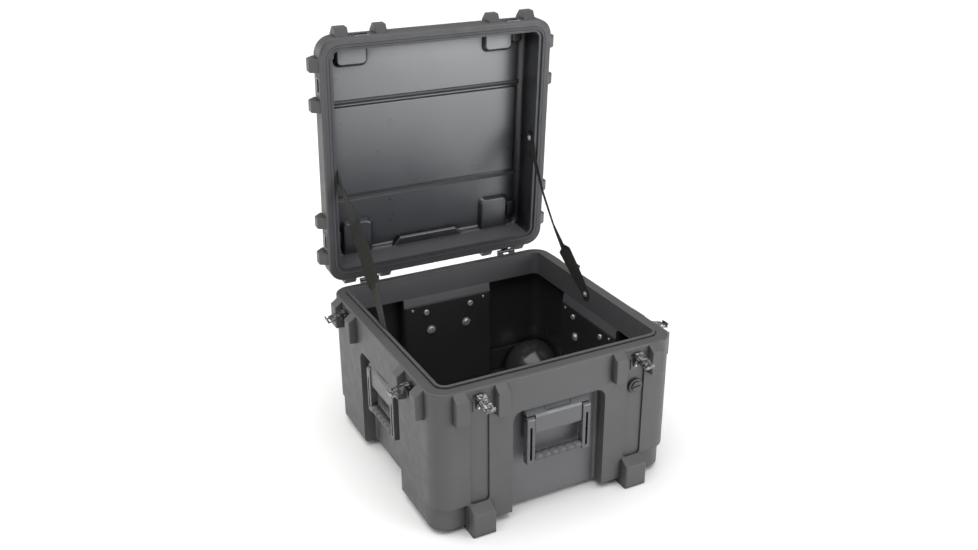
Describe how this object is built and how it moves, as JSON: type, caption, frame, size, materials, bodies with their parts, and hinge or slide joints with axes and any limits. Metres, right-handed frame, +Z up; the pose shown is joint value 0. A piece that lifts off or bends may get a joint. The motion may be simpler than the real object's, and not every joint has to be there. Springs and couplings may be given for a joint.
{
  "type": "equipment rack case",
  "caption": "Moulded plastic transit case for audio equipment: hinged lid held open by two straps, draw latches, spring-less drop handles, black lining.",
  "frame": {"origin": "on the ground, at the centre of the open case's footprint", "axes": "+Z up, +X to the right along the front, +Y from the front towards the hinges; the lid is stored open"},
  "size_m": [0.7416, 0.7949, 1.0424],
  "materials": {
    "body_plastic": "fine grained moulded polyethylene, mid grey",
    "lid_plastic": "moulded polyethylene, mid grey, glossier inside",
    "lining_plastic": "black satin plastic sheet",
    "handle_plastic": "dark grey moulded plastic, slightly glossy",
    "bail_metal": "dark grey powder coat",
    "grip_rubber": "dark soft grip",
    "latch_plate": "dark zinc plate",
    "latch_steel": "nickel plated pressed steel",
    "keeper_steel": "zinc plated",
    "hinge_steel": "dull zinc plated",
    "screw_steel": "bright zinc plated",
    "gasket_rubber": "dark cellular rubber",
    "webbing": "dark olive grey woven webbing",
    "valve_plastic": "dark grey moulded plastic"
  },
  "bodies": {
    "base": {"base_shell": "body_plastic", "base_liner": "lining_plastic", "liner_rivets": "screw_steel", "handle_mount_front": "handle_plastic", "handle_mount_right": "handle_plastic", "handle_mount_back": "handle_plastic", "handle_mount_left": "handle_plastic", "handle_pins": "screw_steel", "handle_screws": "screw_steel", "handle_washers": "screw_steel", "latch_base_front_a": "latch_plate", "latch_base_front_b": "latch_plate", "latch_base_left_a": "latch_plate", "latch_base_left_b": "latch_plate", "latch_base_right_a": "latch_plate", "latch_base_right_b": "latch_plate", "latch_pins": "screw_steel", "latch_rivets": "screw_steel", "hinge_base_leaf_left": "hinge_steel", "hinge_base_leaf_right": "hinge_steel", "hinge_pins": "screw_steel", "hinge_screws_base": "screw_steel", "strap_left": "webbing", "strap_right": "webbing", "strap_screws_base": "screw_steel", "valve_body": "valve_plastic"},
    "lid": {"lid_shell": "lid_plastic", "lid_gasket": "gasket_rubber", "lid_keepers": "keeper_steel", "hinge_lid_leaf_left": "hinge_steel", "hinge_lid_leaf_right": "hinge_steel", "hinge_screws_lid": "screw_steel", "strap_screws_lid": "screw_steel"},
    "handle_front": {"handle_bail_front": "bail_metal", "handle_grip_front": "grip_rubber"},
    "handle_right": {"handle_bail_right": "bail_metal", "handle_grip_right": "grip_rubber"},
    "handle_back": {"handle_bail_back": "bail_metal", "handle_grip_back": "grip_rubber"},
    "handle_left": {"handle_bail_left": "bail_metal", "handle_grip_left": "grip_rubber"},
    "lever_front_a": {"latch_lever_front_a": "latch_steel", "latch_hook_pin_front_a": "screw_steel"},
    "hook_front_a": {"latch_hook_front_a": "latch_steel"},
    "lever_front_b": {"latch_lever_front_b": "latch_steel", "latch_hook_pin_front_b": "screw_steel"},
    "hook_front_b": {"latch_hook_front_b": "latch_steel"},
    "lever_left_a": {"latch_lever_left_a": "latch_steel", "latch_hook_pin_left_a": "screw_steel"},
    "hook_left_a": {"latch_hook_left_a": "latch_steel"},
    "lever_left_b": {"latch_lever_left_b": "latch_steel", "latch_hook_pin_left_b": "screw_steel"},
    "hook_left_b": {"latch_hook_left_b": "latch_steel"},
    "lever_right_a": {"latch_lever_right_a": "latch_steel", "latch_hook_pin_right_a": "screw_steel"},
    "hook_right_a": {"latch_hook_right_a": "latch_steel"},
    "lever_right_b": {"latch_lever_right_b": "latch_steel", "latch_hook_pin_right_b": "screw_steel"},
    "hook_right_b": {"latch_hook_right_b": "latch_steel"},
    "valve": {"valve_knob": "valve_plastic"}
  },
  "joints": [
    {"name": "lid_hinge", "type": "hinge", "parent": "base", "child": "lid", "pos_m": [0, 0.3036, 0.376], "axis": [1, 0, 0], "range_deg": [0, 86.47], "deforming": ["strap_left", "strap_right"]},
    {"name": "handle_front_swing", "type": "hinge", "parent": "base", "child": "handle_front", "pos_m": [0, -0.3319, 0.248], "axis": [-1, 0, 0], "range_deg": [0, 100]},
    {"name": "handle_right_swing", "type": "hinge", "parent": "base", "child": "handle_right", "pos_m": [0.305, -0.0234, 0.248], "axis": [0, -1, 0], "range_deg": [0, 100]},
    {"name": "handle_back_swing", "type": "hinge", "parent": "base", "child": "handle_back", "pos_m": [0, 0.2851, 0.248], "axis": [1, 0, 0], "range_deg": [0, 100]},
    {"name": "handle_left_swing", "type": "hinge", "parent": "base", "child": "handle_left", "pos_m": [-0.305, -0.0234, 0.248], "axis": [0, 1, 0], "range_deg": [0, 100]},
    {"name": "lever_front_a_turn", "type": "hinge", "parent": "base", "child": "lever_front_a", "pos_m": [-0.205, -0.3509, 0.35], "axis": [1, 0, 0], "range_deg": [0, 75]},
    {"name": "hook_front_a_turn", "type": "hinge", "parent": "lever_front_a", "child": "hook_front_a", "pos_m": [-0.205, -0.35621, 0.34858], "axis": [1, 0, 0], "range_deg": [-180, 0]},
    {"name": "lever_front_b_turn", "type": "hinge", "parent": "base", "child": "lever_front_b", "pos_m": [0.205, -0.3509, 0.35], "axis": [1, 0, 0], "range_deg": [0, 75]},
    {"name": "hook_front_b_turn", "type": "hinge", "parent": "lever_front_b", "child": "hook_front_b", "pos_m": [0.205, -0.35621, 0.34858], "axis": [1, 0, 0], "range_deg": [-180, 0]},
    {"name": "lever_left_a_turn", "type": "hinge", "parent": "base", "child": "lever_left_a", "pos_m": [-0.324, 0.1816, 0.35], "axis": [0, -1, 0], "range_deg": [0, 75]},
    {"name": "hook_left_a_turn", "type": "hinge", "parent": "lever_left_a", "child": "hook_left_a", "pos_m": [-0.32931, 0.1816, 0.34858], "axis": [0, -1, 0], "range_deg": [-180, 0]},
    {"name": "lever_left_b_turn", "type": "hinge", "parent": "base", "child": "lever_left_b", "pos_m": [-0.324, -0.2284, 0.35], "axis": [0, -1, 0], "range_deg": [0, 75]},
    {"name": "hook_left_b_turn", "type": "hinge", "parent": "lever_left_b", "child": "hook_left_b", "pos_m": [-0.32931, -0.2284, 0.34858], "axis": [0, -1, 0], "range_deg": [-180, 0]},
    {"name": "lever_right_a_turn", "type": "hinge", "parent": "base", "child": "lever_right_a", "pos_m": [0.324, -0.2284, 0.35], "axis": [0, 1, 0], "range_deg": [0, 75]},
    {"name": "hook_right_a_turn", "type": "hinge", "parent": "lever_right_a", "child": "hook_right_a", "pos_m": [0.32931, -0.2284, 0.34858], "axis": [0, 1, 0], "range_deg": [-180, 0]},
    {"name": "lever_right_b_turn", "type": "hinge", "parent": "base", "child": "lever_right_b", "pos_m": [0.324, 0.1816, 0.35], "axis": [0, 1, 0], "range_deg": [0, 75]},
    {"name": "hook_right_b_turn", "type": "hinge", "parent": "lever_right_b", "child": "hook_right_b", "pos_m": [0.32931, 0.1816, 0.34858], "axis": [0, 1, 0], "range_deg": [-180, 0]},
    {"name": "valve_turn", "type": "hinge", "parent": "base", "child": "valve", "pos_m": [0.205, -0.3419, 0.268], "axis": [0, 1, 0], "range_deg": [0, 120]}
  ],
  "couplings": [
    {"joint": "hook_front_a_turn", "follows": "lever_front_a_turn", "ratio": -2.4},
    {"joint": "hook_front_b_turn", "follows": "lever_front_b_turn", "ratio": -2.4},
    {"joint": "hook_left_a_turn", "follows": "lever_left_a_turn", "ratio": -2.4},
    {"joint": "hook_left_b_turn", "follows": "lever_left_b_turn", "ratio": -2.4},
    {"joint": "hook_right_a_turn", "follows": "lever_right_a_turn", "ratio": -2.4},
    {"joint": "hook_right_b_turn", "follows": "lever_right_b_turn", "ratio": -2.4}
  ]
}
